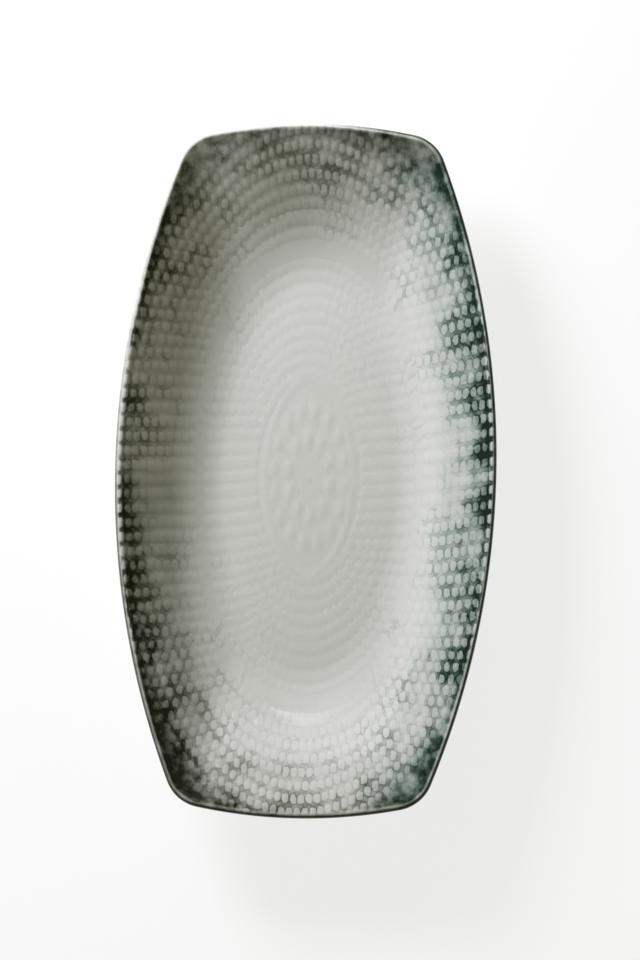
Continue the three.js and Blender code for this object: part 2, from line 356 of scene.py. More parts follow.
# %% [markdown]
# ## The foot
#
# The plate stands on an oval foot. Its underside is never glazed, or the plate would stick to the kiln
# shelf. It is modelled as by hand: a circle is stretched into an oval and pulled up into a thin band,
# Solidify gives the band its width, less at the bottom than at the root, and a bevel rounds the two edges
# that stand on the table.

# %% The band
FOOT_HALF = FLOOR_HALF - FOOT_INSET
FOOT_POINTS = 360

bpy.ops.object.select_all(action="DESELECT")
bpy.ops.mesh.primitive_circle_add(vertices=FOOT_POINTS, radius=1)
foot = bpy.context.object
foot.name = foot.data.name = "bare_foot"
bpy.ops.object.mode_set(mode="EDIT")
bpy.ops.mesh.select_all(action="SELECT")
bpy.ops.transform.resize(value=(FOOT_HALF[0], FOOT_HALF[1], 1))
bpy.ops.mesh.extrude_region_move(TRANSFORM_OT_translate={"value": (0, 0, FOOT_HEIGHT)})
bpy.ops.mesh.select_all(action="SELECT")
bpy.ops.mesh.normals_make_consistent(inside=False)
bpy.ops.object.mode_set(mode="OBJECT")
print("foot:", FOOT_HALF.round(4), "from its middle to its middle line")

# %% Its width
taper = foot.vertex_groups.new(name="width")
bottom_share = (FOOT_LAND + 2 * FOOT_ROUNDING) / FOOT_ROOT
for point in foot.data.vertices:
    taper.add([point.index], 1.0 if point.co.z > FOOT_HEIGHT / 2 else bottom_share, "REPLACE")
solidify = foot.modifiers.new("width", "SOLIDIFY")
solidify.thickness = FOOT_ROOT
solidify.offset = 0
solidify.vertex_group = "width"
solidify.use_even_offset = True
pick(foot)
bpy.ops.object.modifier_apply(modifier="width")
print("foot band:", len(foot.data.vertices), "points")

# %% Its rounded edges
ON_TABLE = 1e-6
ROUNDING_STEPS = 4
SMOOTH_BELOW = math.radians(50)

bpy.ops.object.mode_set(mode="EDIT")
bpy.ops.mesh.select_all(action="DESELECT")
bpy.ops.object.mode_set(mode="OBJECT")
low = points_of(foot)[:, 2] < ON_TABLE
ends = np.array([edge.vertices[:] for edge in foot.data.edges])
edge_spans = np.abs(np.diff(points_of(foot)[ends], axis=1)[:, 0]).sum(1)
crosswise = edge_spans >= 0.9 * bottom_share * FOOT_ROOT
lengthwise = low[ends].all(1) & ~crosswise
foot.data.edges.foreach_set("select", lengthwise)
foot.data.vertices.foreach_set("select", np.isin(np.arange(len(low)), ends[lengthwise]))
bpy.context.tool_settings.mesh_select_mode = (False, True, False)
bpy.ops.object.mode_set(mode="EDIT")
bpy.ops.mesh.bevel(offset=FOOT_ROUNDING, segments=ROUNDING_STEPS, affect="EDGES")
bpy.ops.mesh.select_all(action="SELECT")
bpy.ops.mesh.normals_make_consistent(inside=False)
bpy.ops.object.mode_set(mode="OBJECT")
bpy.ops.object.shade_smooth_by_angle(angle=SMOOTH_BELOW)
report(foot)

# %% [markdown]
# ## The coats under the plate
#
# The glaze under the plate is in two pieces, one outside the foot and one inside it. Each starts as a
# skin, a coat's thickness off the clay, and Solidify gives it that thickness inwards. Glaze gathers where
# the foot meets the floor and ends in a soft edge above the table, where it was wiped off before firing.

# %% Rings round the foot
POOL, POOL_STEPS = 2.2 * GLAZE, 6
SOFT_END = ((1.0, 0.6), (0.7, 0.1), (0.05, 0.0))


def foot_ring(outside, height):
    """A ring a distance outside the foot's middle line."""

    def ring(way):
        turn = np.arctan2(way[:, 1] / FOOT_HALF[1], way[:, 0] / FOOT_HALF[0])
        round_foot = np.column_stack([np.cos(turn), np.sin(turn)])
        normal = round_foot / FOOT_HALF
        normal /= np.hypot(normal[:, 0], normal[:, 1])[:, None]
        return np.column_stack([round_foot * FOOT_HALF + outside * normal, np.full(len(way), height)])

    return ring


def foot_side(side):
    """Rings of the coat from under the floor down one side of the foot."""
    root, line = FOOT_ROOT / 2, FOOT_LAND / 2 + FOOT_ROUNDING
    line += (root - line) * (GLAZE_LINE - FOOT_ROUNDING) / (FOOT_HEIGHT - FOOT_ROUNDING)
    rings = []
    for step in np.linspace(0, math.pi / 2, POOL_STEPS):
        outside = root + GLAZE + POOL * (1 - math.sin(step))
        rings.append(foot_ring(side * outside, FOOT_HEIGHT - GLAZE - POOL * (1 - math.cos(step))))
    for thickness, above_line in SOFT_END:
        rings.append(foot_ring(side * (line + thickness * GLAZE), GLAZE_LINE + above_line * GLAZE))
    return rings


# %% The two coats
COAT = 0.95 * GLAZE
RECESS_PARTS = (0, 0.2, 0.4, 0.55, 0.66)


def coat_from(name, rings):
    skin = wrap(name, rings)
    solidify = skin.modifiers.new("coat", "SOLIDIFY")
    solidify.thickness = COAT
    solidify.offset = -1
    pick(skin)
    bpy.ops.object.modifier_apply(modifier="coat")
    bpy.ops.object.shade_smooth_by_angle(angle=SMOOTH_BELOW)
    report(skin)
    return skin


back_coat = coat_from("back_coat", back_rings(GLAZE) + foot_side(1))
recess_floor = [floor_ring(part, FOOT_HEIGHT - GLAZE) for part in RECESS_PARTS]
recess_coat = coat_from("recess_coat", recess_floor + foot_side(-1))

# %% [markdown]
# ## The beads
#
# The beads sit in rings that are drawn out along the plate: ring after ring at one pitch, each with six
# beads more than the one inside it. So the rows run straight across at the long sides and curve round the
# ends. Near the rim the beads are separate pearls. Towards the floor they are lower and run together into
# soft bars. In the middle of the floor, a low oval ridge goes round two rings of pillows, twice as large
# as the beads. A stamp for each bead would do, but a height that can be asked for at any place also
# serves the last beads, which run out on the lip.

# %% The nearest bead to any place
PITCH, STRETCH, START = 0.00373, 1.84, 0.38
FIRST_RING, LAST_WHOLE_RING, LAST_RING = 6, 23, 25
BEADS_AT_START, MORE_BEADS = 4, 6
OFFSET_AT_START, MORE_OFFSET = -0.42, 0.052


def beads_in(ring):
    return MORE_BEADS * ring + BEADS_AT_START


def bead_offset(ring):
    """How far round the first bead of a ring is, in beads."""
    return MORE_OFFSET * ring + OFFSET_AT_START


def rings_from_middle(x, y, pitch=PITCH):
    return np.hypot(x, y / STRETCH) / pitch - START


def nearest_bead(x, y, pitch=PITCH):
    """Ring of the nearest bead, and how far off its middle a place is, in rings outwards and beads round."""
    rings_out = rings_from_middle(x, y, pitch)
    ring = np.rint(rings_out)
    beads_round = np.arctan2(y / STRETCH, x) / (2 * math.pi) * beads_in(ring) - bead_offset(ring)
    return ring, rings_out - ring, beads_round - np.rint(beads_round)


def off_middle_of_bead(x, y):
    """Ring of the nearest bead, and how far off its middle a place is, across and along the plate."""
    ring, _, around = nearest_bead(x, y)
    angle = np.arctan2(y / STRETCH, x)
    bead_angle = angle - 2 * math.pi * around / beads_in(ring)
    middle = PITCH * (ring + START)
    return ring, x - middle * np.cos(bead_angle), y - STRETCH * middle * np.sin(bead_angle)


print("beads:", sum(beads_in(ring) for ring in range(FIRST_RING, LAST_WHOLE_RING + 1)), "in whole rings")

# %% The height of the relief at any place
RIM_BEAD = {"height": 0.00018, "half_width": 0.00178, "half_length": 0.0027}
FLOOR_BEAD = {"height": 0.00012, "half_width": 0.0042, "half_length": 0.0034}
RIDGE = {"height": 0.00012, "half_width": 0.0212, "half_length": 0.0480, "thickness": 0.0021}
PILLOW_HEIGHT, FIRST_PILLOWS, LAST_PILLOWS = 0.00020, 1, 2
PILLOWS_TO, BEADS_FROM = 5.0, 6.5
LATE_PEARLS, SQUARENESS, FULLNESS = 2.2, 3, 0.7
SMALLEST_OVAL = 0.1


def bead_size(ring, size):
    """A size of the beads of a ring, between those on the floor and those at the rim."""
    out = np.clip((ring - FIRST_RING) / (LAST_WHOLE_RING - FIRST_RING), 0, 1) ** LATE_PEARLS
    return FLOOR_BEAD[size] + (RIM_BEAD[size] - FLOOR_BEAD[size]) * out


def off_bead(x, y, size):
    """Ring of the nearest bead, and how far off its middle a place is, 1 at its edge. Beads are squarish."""
    ring, dx, dy = off_middle_of_bead(x, y)
    across = np.abs(dx) / size(ring, "half_width")
    along = np.abs(dy) / size(ring, "half_length")
    return ring, (across**SQUARENESS + along**SQUARENESS) ** (1 / SQUARENESS)


def ridge_height(x, y):
    oval = np.maximum(np.hypot(x / RIDGE["half_width"], y / RIDGE["half_length"]), SMALLEST_OVAL)
    off_ridge = np.hypot(x, y) * (1 - 1 / oval) / RIDGE["thickness"]
    return RIDGE["height"] * np.exp(-(off_ridge**2))


def pillow_height(x, y):
    ring, outwards, around = nearest_bead(x, y, 2 * PITCH)
    height = PILLOW_HEIGHT * (np.cos(math.pi * outwards) * np.cos(math.pi * around)) ** 2
    return np.where((ring >= FIRST_PILLOWS) & (ring <= LAST_PILLOWS), height, 0)


def relief(x, y):
    """Height of the relief above the coat."""
    rings_out = rings_from_middle(x, y)
    ring, off = off_bead(x, y, bead_size)
    beads = bead_size(ring, "height") * np.clip(1 - off**2, 0, 1) ** FULLNESS * (ring <= LAST_RING)
    pillows = np.where(rings_out < PILLOWS_TO, pillow_height(x, y), 0)
    return np.maximum(ridge_height(x, y), np.where(rings_out >= BEADS_FROM, beads, pillows))


side_bead = relief(np.array([PITCH * (LAST_WHOLE_RING + START)]), np.array([0.0]))
print("relief on the last whole ring, at the side:", side_bead.round(5))

# %% [markdown]
# ## The beaded face
#
# The face is the coat of glaze over the clay, from the middle of the floor to the outermost line of the
# lip. The beads are shape, not only shading, so that they catch the light at the rim. Each ring has its
# own strip, with the same columns for every bead, so all the beads come out alike. A disc fills the
# middle, and one more strip runs from the last whole ring over the lip and back under the coat. Bridges
# close the hollows between the strips, whose columns differ in number.

# %% Places on the face
COLUMNS_PER_BEAD, ROWS_PER_RING, VALLEY = 6, 5, 0.08


def face_places(x, y):
    """Points of the beaded face over places in plan."""
    out = np.hypot(x, y)
    angle = np.arctan2(y, x)
    way = np.column_stack([np.cos(angle), np.sin(angle)])
    share = wall_share(way, out)
    height = relief(x, y)
    places = wall_points(way, share, 1, GLAZE + height)
    flat = share <= 0
    places[flat] = np.column_stack([x, y, FOOT_HEIGHT + BASE + GLAZE + height])[flat]
    return places


def ring_place(ring, turn):
    radius = PITCH * (ring + START)
    angle = 2 * math.pi * turn
    return radius * np.cos(angle), STRETCH * radius * np.sin(angle)


# %% The middle of the floor
MIDDLE_COLUMNS, MIDDLE_ROWS = 168, 26

strip, column, row = flat_strip("floor_middle", MIDDLE_COLUMNS, MIDDLE_ROWS)
rings_out = (FIRST_RING - 0.5 - VALLEY + START) * row / MIDDLE_ROWS - START
move_points(strip, face_places(*ring_place(rings_out, column / MIDDLE_COLUMNS)))
weld(strip)
face_strips = [strip]
print("floor middle:", len(strip.data.vertices), "points")


# %% The rings of beads
def bead_turns(ring, column):
    """Turns of a strip's columns, with the hollows between the beads on whole beads of columns."""
    return (column / COLUMNS_PER_BEAD - 0.5 + bead_offset(ring)) / beads_in(ring)


for ring in range(FIRST_RING, LAST_WHOLE_RING + 1):
    strip, column, row = flat_strip(f"bead_ring_{ring}", beads_in(ring) * COLUMNS_PER_BEAD, ROWS_PER_RING)
    across = -0.5 + VALLEY + (1 - 2 * VALLEY) * row / ROWS_PER_RING
    move_points(strip, face_places(*ring_place(ring + across, bead_turns(ring, column))))
    weld(strip)
    face_strips.append(strip)
print(len(face_strips) - 1, "rings of beads")

# %% The border, the lip and the back of the coat
BORDER_ROWS, LIP_ROWS = 14, 12
BACK_SHARES = (1.0, 0.7, 0.4, 0.15, 0.04, 0.0)

border_ring = LAST_WHOLE_RING + 1
border_columns = beads_in(border_ring) * COLUMNS_PER_BEAD
all_rows = BORDER_ROWS + LIP_ROWS + len(BACK_SHARES) + 2
strip, column, row = flat_strip("border_and_lip", border_columns, all_rows)
inner = np.column_stack(ring_place(border_ring - 0.5 + VALLEY, bead_turns(border_ring, column)))
inner_out = np.hypot(inner[:, 0], inner[:, 1])
way = inner / inner_out[:, None]
edge_out = np.hypot(*wall_points(way, np.ones(len(way)), 1, GLAZE)[:, :2].T)
out = inner_out + (edge_out - inner_out) * np.clip(row / BORDER_ROWS, 0, 1)
places = face_places(way[:, 0] * out, way[:, 1] * out)


def beaded_lip_ring(turn):
    """A ring over the lip, where the last beads fade out towards its outermost line."""

    def ring(way):
        x, y = lip_ring(turn, 1, GLAZE)(way)[:, :2].T
        slope = wall_slope(*spokes(way), np.ones(len(way)))
        return lip_points(way, turn * (slope + math.pi / 2), GLAZE + relief(x, y) * min(1, 2 * turn))

    return ring


lip_rows = [beaded_lip_ring(1 - step / LIP_ROWS) for step in range(1, LIP_ROWS + 1)]
back_rows = [lip_ring(0, 1, 0)] + [wall_ring(share, 1, 0) for share in BACK_SHARES]
back_rows.append(floor_ring(0, FOOT_HEIGHT + BASE))
for number, ring in enumerate(lip_rows + back_rows, BORDER_ROWS + 1):
    places[row == number] = ring(way[row == number])
move_points(strip, places)
weld(strip)
face_strips.append(strip)
print("border and lip:", len(strip.data.vertices), "points")


# %% Bridge the strips into one face
def pick_loops(piece, inside, outside):
    """Selects the open edges of the face that lie between two rings."""
    mesh = piece.data
    points = points_of(piece)
    rings_out = rings_from_middle(points[:, 0], points[:, 1])
    ends = np.empty(len(mesh.edges) * 2, int)
    mesh.edges.foreach_get("vertices", ends)
    ends = ends.reshape(-1, 2)
    between = (rings_out > inside) & (rings_out < outside)
    chosen = (edge_uses(mesh) == 1) & between[ends].all(1)
    mesh.polygons.foreach_set("select", np.zeros(len(mesh.polygons), bool))
    mesh.edges.foreach_set("select", chosen)
    mesh.vertices.foreach_set("select", np.isin(np.arange(len(points)), ends[chosen]))


bpy.ops.object.select_all(action="DESELECT")
for strip in face_strips:
    strip.select_set(True)
bpy.context.view_layer.objects.active = face_strips[0]
bpy.ops.object.join()
face = bpy.context.object
face.name = face.data.name = "beaded_face"
for ring in range(FIRST_RING, LAST_WHOLE_RING + 2):
    pick_loops(face, ring - 0.5 - 1.5 * VALLEY, ring - 0.5 + 1.5 * VALLEY)
    bpy.ops.object.mode_set(mode="EDIT")
    bpy.ops.mesh.bridge_edge_loops()
    bpy.ops.object.mode_set(mode="OBJECT")
weld(face)
report(face)

# %% [markdown]
# ## What the finish needs to know
#
# The stain was brushed over the beads and wiped off again, so it stayed where the face is low, and more
# of it near the rim. It isn't the same all round: there is more in the near left corner and at the right,
# less at the two ends, and at the far end it runs further in. At the far end and on the left its lines
# are blurred. The lip was wiped less at the near end and in the far right corner. Painted shade is
# carried too: a thin dark line along the lip's outer edge, strongest at the right, where the lip turns
# away from the window, and a light shade over the outer wall, heavier on the right and near left walls.
# A painted mask could say this, but it would be a picture. Here the mesh carries it, as marks on its
# points that the finish reads.

# %% Where each point lies
END_HALF = 0.050


def inside_rim(x, y):
    """How far inside the rim outline a place lies."""
    quarter = np.abs(np.column_stack([x, y]))
    side = SIDE_RADIUS - np.hypot(*(quarter - SIDE_CENTRE).T)
    end = END_RADIUS - np.hypot(*(quarter - END_CENTRE).T)
    turn = turn_from(CORNER, quarter)
    in_corner = (turn > SIDE_TURN) & (turn < END_TURN)
    return np.where(in_corner, CORNER_RADIUS - np.hypot(*(quarter - CORNER).T), np.minimum(side, end))


def share(values):
    return np.clip(values, 0, 1)


def mark(name, values):
    layer = face.data.attributes.new(name, "FLOAT", "POINT")
    layer.data.foreach_set("value", values.astype(np.float32))


x, y = points_of(face)[:, :2].T
across, along = x / (WIDTH / 2), y / (LENGTH / 2)
far, left = y > 0, x < 0
rings_out = rings_from_middle(x, y)
corner_share = share(2 * np.abs(across * along))
end_share = np.abs(along) ** 3 * share(1.3 - np.abs(x) / END_HALF)
far_end = far * end_share
left_share = share(-across)
right_share = share(across) ** 2
near_share = share(-along) ** 4
side_share = share(np.abs(across)) ** 2 * (1 - corner_share**3)
mark("inset", inside_rim(x, y))
mark("off_bead", off_bead(x, y, lambda ring, size: RIM_BEAD[size])[1])
print("inset up to", inside_rim(x, y).max().round(4))

# %% How much stain there is, and the painted shade on the wall
REACH, STRENGTH, WALL_SHADE = 0.0052, 0.80, 0.045


def by_end(at_far, at_near):
    return np.where(far, at_far, at_near)


def by_corner(far_left, near_left, far_right, near_right):
    return np.where(left, by_end(far_left, near_left), by_end(far_right, near_right))


def beyond_ring(ring, over):
    """0 as far as a ring, and 1 some rings further out."""
    return share((rings_out - ring) / over)


more_reach = 0.004 * corner_share + by_end(at_far=0.022, at_near=0.002) * end_share
mark("reach", REACH + more_reach)

more_in_corners = by_corner(far_left=-0.25, near_left=0.20, far_right=0.0, near_right=0.0) * corner_share
more_at_right = 0.14 * right_share * (1 - corner_share)
less_at_left = 0.28 * left_share * (1 - corner_share)
less_at_ends = by_end(at_far=0.62, at_near=0.74) * end_share
mark("strength", STRENGTH + more_in_corners + more_at_right - less_at_left - less_at_ends)

corner_film = by_corner(far_left=0.06, near_left=0.26, far_right=0.20, near_right=0.10)
corner_film = corner_film * beyond_ring(23.3, over=3.5)
right_film = 0.09 * right_share * (1 - corner_share) * beyond_ring(20.0, over=2)
far_film = 0.14 * far_end * beyond_ring(23.2, over=1)
mark("rim_film", corner_film + right_film + far_film)

# Painted shade over the outer wall, given as a stain density: heavier on the right and near left walls,
# lighter on the far left and at the far end.
more_wall_shade = 0.035 * right_share + by_end(at_far=-0.03, at_near=0.07) * left_share
mark("painted_wall_shade", WALL_SHADE + more_wall_shade - 0.03 * far_end)
mark("plain", beyond_ring(LAST_RING - 0.3, over=1))
print("the stain reaches in by up to", (REACH + more_reach).max().round(4))

# %% How sharp its lines are, how the lip was wiped, and the painted shade on its edge
CLEAN_LIP, FAINT_LINES, LEFT_ON_LIP = 0.0023, 0.01, 0.08
EDGE_SHADE, EDGE_SHADE_ACROSS, EDGE_SHADE_ALONG = 0.78, 0.5625, -0.495

far_blur = share(along) ** 2 * (1 - 0.6 * right_share)
mark("blur", np.maximum(far_blur, 0.7 * left_share))
mark("faint_lines", FAINT_LINES + 0.09 * near_share)

wider_at_sides = (0.0009 + 0.0006 * left) * side_share
mark("clean_lip", CLEAN_LIP + wider_at_sides - 0.0007 * far_end)
far_right = right_share * share((along - 0.55) / 0.25)
mark("left_on_lip", LEFT_ON_LIP + 0.25 * near_share + 0.90 * far_right)

# A line of painted shade along the lip's outer edge: full at the right, half at the near end, faint on the
# left and gone at the far end, as the lip turns away from or towards the window.
painted_edge_shade = share(EDGE_SHADE + EDGE_SHADE_ACROSS * across + EDGE_SHADE_ALONG * along)
less_edge_shade_near = 0.50 * share(-along) ** 2
mark("edge", share(painted_edge_shade - less_edge_shade_near - 0.3 * far_end))
print("marks:", len(face.data.attributes), "layers on the face")

# %% [markdown]
# ## A map of the face
#
# A picture of the finish needs a flat map of the face. The face is an open dish, so its plan from above
# does for everything that shows, and nothing overlaps. Its hidden back gets a smaller plan beside it.

# %% The plan as a map
MAP_MARGIN = 0.01
HIDDEN_SCALE, HIDDEN_PLACE = 0.6, (0.62, 0.1)

bake_map = face.data.uv_layers.new(name="OFBake")
corners = np.empty(len(face.data.loops), int)
face.data.loops.foreach_get("vertex_index", corners)
normals = np.empty(len(face.data.polygons) * 3, np.float32)
face.data.polygons.foreach_get("normal", normals)
sizes = np.empty(len(face.data.polygons), int)
face.data.polygons.foreach_get("loop_total", sizes)
hidden = np.repeat(normals.reshape(-1, 3)[:, 2] < 0, sizes)
plan = np.column_stack([x + WIDTH / 2, y + LENGTH / 2])[corners] / LENGTH
on_map = np.where(hidden[:, None], plan * HIDDEN_SCALE + HIDDEN_PLACE, plan)
on_map = MAP_MARGIN + (1 - 2 * MAP_MARGIN) * on_map
bake_map.data.foreach_set("uv", on_map.astype(np.float32).ravel())
print("map:", int(hidden.sum()), "hidden corners")

# %% [markdown]
# ## Finishes
#
# All finishes are made of nodes that read the piece's own coordinates and the marks on its mesh. A few
# helpers keep their making readable: each adds one node, or a few, and hands back what comes out of it.

# %% Node helpers
MM = 0.001
CLOUD_EDGES = (0.3, 0.7)


def new_finish(name):
    finish = bpy.data.materials.new(name)
    finish.use_nodes = True
    return finish, finish.node_tree, finish.node_tree.nodes["Principled BSDF"]


def feed(tree, socket, given):
    if isinstance(given, bpy.types.NodeSocket):
        tree.links.new(given, socket)
    else:
        socket.default_value = given


def calc(tree, operation, *given, clamp=False):
    node = tree.nodes.new("ShaderNodeMath")
    node.operation = operation
    node.use_clamp = clamp
    for socket, item in zip(node.inputs, given):
        feed(tree, socket, item)
    return node.outputs[0]


def product(tree, first, *others):
    for other in others:
        first = calc(tree, "MULTIPLY", first, other)
    return first


def grade(tree, given, low, high):
    """From low, where the given value is 0, to high, where it is 1."""
    return calc(tree, "MULTIPLY_ADD", given, high - low, low)


def ease(tree, given, start, end):
    """0 at start and 1 at end, smooth between."""
    node = tree.nodes.new("ShaderNodeMapRange")
    node.interpolation_type = "SMOOTHSTEP"
    feed(tree, node.inputs["Value"], given)
    feed(tree, node.inputs["From Min"], start)
    feed(tree, node.inputs["From Max"], end)
    return node.outputs["Result"]


def own_place(tree):
    return tree.nodes.new("ShaderNodeTexCoord").outputs["Object"]


def own_axes(tree):
    """The piece's own X, Y and Z."""
    node = tree.nodes.new("ShaderNodeSeparateXYZ")
    feed(tree, node.inputs["Vector"], own_place(tree))
    return node.outputs


def cloud(tree, size, seed, detail=2.0):
    """Soft patches of a size in metres, between 0 and 1."""
    noise = tree.nodes.new("ShaderNodeTexNoise")
    noise.noise_dimensions = "4D"
    noise.inputs["W"].default_value = seed
    noise.inputs["Scale"].default_value = 1 / size
    noise.inputs["Detail"].default_value = detail
    feed(tree, noise.inputs["Vector"], own_place(tree))
    return ease(tree, noise.outputs["Fac"], *CLOUD_EDGES)


def mark_of(tree, name):
    node = tree.nodes.new("ShaderNodeAttribute")
    node.attribute_name = name
    return node.outputs["Fac"]


def blend(tree, share_of_other, one, other):
    node = tree.nodes.new("ShaderNodeMix")
    node.data_type = "RGBA"
    feed(tree, node.inputs["Factor"], share_of_other)
    feed(tree, node.inputs["A"], one)
    feed(tree, node.inputs["B"], other)
    return node.outputs["Result"]


def bumps(tree, shader, height, distance):
    node = tree.nodes.new("ShaderNodeBump")
    node.inputs["Distance"].default_value = distance
    feed(tree, node.inputs["Height"], height)
    feed(tree, shader.inputs["Normal"], node.outputs["Normal"])


# %% [markdown]
# ## The stained glaze
#
# The stain behaves like a liquid that fills the hollows up to a level. The level is highest at the rim
# and falls inwards, in patches. Where it is high, the dark outlines of the beads are wide, and a thin
# film lies on their tops. Where it is low, the outlines are thin and faint. The corners have no beads, so
# the stain is mottled there. A light painted shade lies over the outer wall, heavier on the right and
# near left walls. The lip was wiped, but the hollows between the last beads keep some stain, and a thin
# line of painted shade runs along its outer edge, strongest at the right. A thin stain takes away light
# as a filter does, so the colour for each density is the glaze's colour times a power of the stain's.

# %% Clouds that make the stain uneven
stained_glaze, tree, shader = new_finish("stained_glaze")
patches = cloud(tree, 18 * MM, seed=3.0)
spots = cloud(tree, 5.5 * MM, seed=7.0)
ragged = cloud(tree, 2.2 * MM, seed=13.0)
sponge = cloud(tree, 1.4 * MM, seed=11.0)
mottled = grade(tree, cloud(tree, 3 * MM, seed=19.0, detail=3.0), 0.15, 0.55)
uneven = product(tree, grade(tree, patches, 0.18, 1.18), grade(tree, spots, 0.3, 1.4))
inset, reach, strength = mark_of(tree, "inset"), mark_of(tree, "reach"), mark_of(tree, "strength")
blur, plain = mark_of(tree, "blur"), mark_of(tree, "plain")
with_beads = calc(tree, "SUBTRACT", 1.0, plain)
print("clouds and marks:", len(tree.nodes), "nodes")

# %% Its level, and the outlines of the beads
FULL_AT, HIGHEST_LEVEL = 6 * MM, 0.85
OUTLINE_STARTS, OUTLINE_FULL = 0.82, 1.0
STARTS_BLURRED, FULL_BLURRED = 0.54, 1.25
WIDER_BY_LEVEL = -0.25
PIT_STARTS, PIT_FULL = 1.08, 1.26


def level_at(tree, inset, reach, strength):
    """How much stain there is a way in from the rim."""
    way_in = calc(tree, "DIVIDE", calc(tree, "SUBTRACT", FULL_AT, inset), reach)
    return product(tree, calc(tree, "EXPONENT", way_in), strength)


level = product(tree, level_at(tree, inset, reach, strength), uneven)
level = calc(tree, "MINIMUM", level, HIGHEST_LEVEL)
off = calc(tree, "ADD", mark_of(tree, "off_bead"), grade(tree, ragged, -0.13, 0.13))
line_start = grade(tree, blur, OUTLINE_STARTS, STARTS_BLURRED)
line_start = calc(tree, "MULTIPLY_ADD", level, WIDER_BY_LEVEL, line_start)
line_full = grade(tree, blur, OUTLINE_FULL, FULL_BLURRED)
pits = product(tree, ease(tree, inset, 1 * MM, 6 * MM), ease(tree, off, PIT_STARTS, PIT_FULL))
line = product(tree, ease(tree, off, line_start, line_full), grade(tree, pits, 1.0, 0.6))
line = calc(tree, "MULTIPLY_ADD", mottled, plain, product(tree, line, with_beads))
film = grade(tree, sponge, 0.15, 0.35)
density = product(tree, level, calc(tree, "MULTIPLY_ADD", line, 0.9, film))
print("level and outlines:", len(tree.nodes), "nodes")

# %% Lines further in, and the painted shade over the wall
FURTHER, FURTHER_IN_STRENGTH = 3.0, 0.33
LINES_END, LINES_WHOLE = 60 * MM, 35 * MM
WALL_SHADE_ENDS, WALL_SHADE_WHOLE = 36 * MM, 22 * MM

far_in = level_at(tree, inset, product(tree, reach, FURTHER), strength)
far_in = product(tree, far_in, ease(tree, patches, 0.5, 0.85), FURTHER_IN_STRENGTH)
far_in = product(tree, far_in, grade(tree, spots, 0.4, 1.3), grade(tree, blur, 1.0, 0.6))
faint = product(tree, ease(tree, inset, LINES_END, LINES_WHOLE), mark_of(tree, "faint_lines"))
far_in = calc(tree, "MULTIPLY_ADD", faint, grade(tree, spots, 0.25, 1.75), far_in)
density = calc(tree, "MULTIPLY_ADD", far_in, line, density)

# Painted shade that darkens the outer wall in patches, most on the right and near left walls.
painted_wall_shade = product(tree, ease(tree, inset, WALL_SHADE_ENDS, WALL_SHADE_WHOLE), mark_of(tree, "painted_wall_shade"))
painted_wall_shade = product(tree, painted_wall_shade, grade(tree, patches, 0.7, 1.3))
rim_film = product(tree, mark_of(tree, "rim_film"), grade(tree, spots, 0.65, 1.35))
density = calc(tree, "ADD", density, calc(tree, "ADD", painted_wall_shade, rim_film))
print("lines further in and wash:", len(tree.nodes), "nodes")

# %% Under the lip, on it, and the painted shade along its edge
UNDER_LIP_ENDS, UNDER_LIP_FULL = 5.5 * MM, 2.6 * MM
BEFORE_CLEAN, AFTER_CLEAN = 0.7 * MM, 0.8 * MM
BEADS_END, BEADS_WHOLE = 1.0 * MM, 2.5 * MM
EDGE_SHADE_ENDS, EDGE_SHADE_FULL = 1.5 * MM, 0.5 * MM
KEPT_BETWEEN_BEADS = 0.55

under_lip = product(tree, ease(tree, inset, UNDER_LIP_ENDS, UNDER_LIP_FULL), grade(tree, spots, 0.05, 0.70))
under_lip = product(tree, under_lip, grade(tree, line, 0.2, 1.0))
density = calc(tree, "MULTIPLY_ADD", under_lip, strength, density)

clean_lip = mark_of(tree, "clean_lip")
wiped_to = calc(tree, "SUBTRACT", clean_lip, BEFORE_CLEAN)
stained_from = calc(tree, "ADD", clean_lip, AFTER_CLEAN)
on_face = ease(tree, inset, wiped_to, stained_from)
on_face = calc(tree, "MAXIMUM", on_face, mark_of(tree, "left_on_lip"))
last_beads = product(tree, line, ease(tree, inset, BEADS_END, BEADS_WHOLE), with_beads)
on_face = calc(tree, "MAXIMUM", on_face, product(tree, last_beads, KEPT_BETWEEN_BEADS))
# The line of painted shade along the lip's outer edge.
painted_edge_line = product(tree, ease(tree, inset, EDGE_SHADE_ENDS, EDGE_SHADE_FULL), mark_of(tree, "edge"))
density = calc(tree, "MULTIPLY_ADD", density, on_face, painted_edge_line, clamp=True)
print("density of the stain:", len(tree.nodes), "nodes")

# %% Its colour
CREAM = np.array([0.583, 0.587, 0.548])
GREEN_STAIN = np.array([0.014, 0.031, 0.024])
OLIVE_STAIN = np.array([0.020, 0.022, 0.016])
RAMP_STOPS = 7
GREEN_FROM, GREEN_WHOLE, GREEN_RAGGED = 25 * MM, 90 * MM, 30 * MM


def stained(tree, density, stain):
    """The colour of the glaze over a density of stain."""
    ramp = tree.nodes.new("ShaderNodeValToRGB")
    stops = ramp.color_ramp.elements
    for place in np.linspace(0, 1, RAMP_STOPS)[1:-1]:
        stops.new(place)
    for stop in stops:
        stop.color = (*(CREAM * stain**stop.position), 1)
    feed(tree, ramp.inputs["Fac"], density)
    return ramp.outputs["Color"]


to_right = calc(tree, "MULTIPLY_ADD", patches, GREEN_RAGGED, own_axes(tree)["X"])
greener = ease(tree, to_right, GREEN_FROM, GREEN_WHOLE)
colour = blend(tree, greener, stained(tree, density, OLIVE_STAIN), stained(tree, density, GREEN_STAIN))
feed(tree, shader.inputs["Base Color"], colour)
feed(tree, shader.inputs["Roughness"], grade(tree, cloud(tree, 12 * MM, seed=5.0), 0.12, 0.17))
bumps(tree, shader, cloud(tree, 5 * MM, seed=17.0, detail=1.0), 0.02 * MM)
face.data.materials.append(stained_glaze)
print("stained glaze on", face.name)

